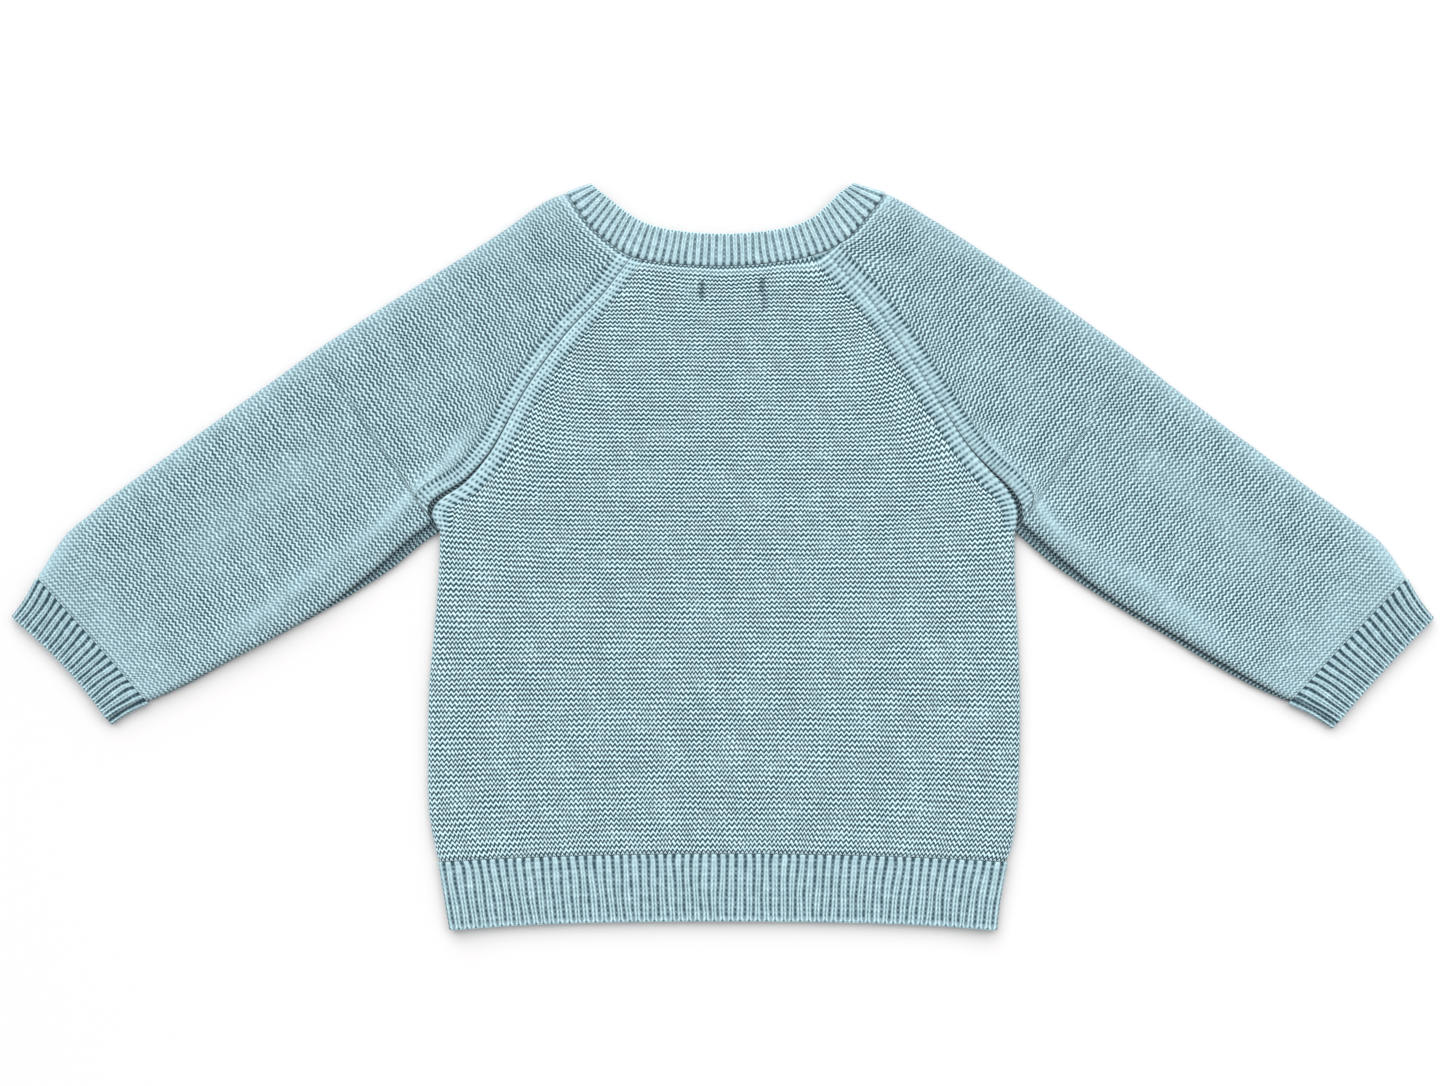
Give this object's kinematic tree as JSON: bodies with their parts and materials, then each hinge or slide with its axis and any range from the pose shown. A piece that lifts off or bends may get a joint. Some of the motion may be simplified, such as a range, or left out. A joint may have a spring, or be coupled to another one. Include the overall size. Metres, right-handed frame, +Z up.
{
  "type": "knit sweater",
  "caption": "Baby's raglan pullover in fine textured cotton knit with ribbed neckband, cuffs and hem, laid flat on its front with its back up.",
  "frame": {"origin": "centre of the laid garment's outline, on the surface it lies on", "axes": "+X from cuff to cuff, towards the cuff at the right of the picture; +Y from the hem to the neck; +Z up, out of the back panel"},
  "size_m": [0.6409, 0.3367, 0.0074],
  "materials": {
    "back_panel_yarn": "matt cotton knit",
    "front_panel_yarn": "matt cotton knit",
    "sleeve_left_yarn": "matt cotton knit",
    "sleeve_right_yarn": "matt cotton knit",
    "cuff_left_yarn": "matt cotton knit",
    "cuff_right_yarn": "matt cotton knit",
    "hem_back_yarn": "matt cotton knit",
    "hem_front_yarn": "matt cotton knit",
    "neckband_yarn": "matt cotton knit"
  },
  "bodies": {
    "root": {"back_panel": "back_panel_yarn", "front_panel": "front_panel_yarn", "sleeve_left": "sleeve_left_yarn", "sleeve_right": "sleeve_right_yarn", "cuff_left": "cuff_left_yarn", "cuff_right": "cuff_right_yarn", "hem_back": "hem_back_yarn", "hem_front": "hem_front_yarn", "neckband": "neckband_yarn"}
  },
  "joints": []
}
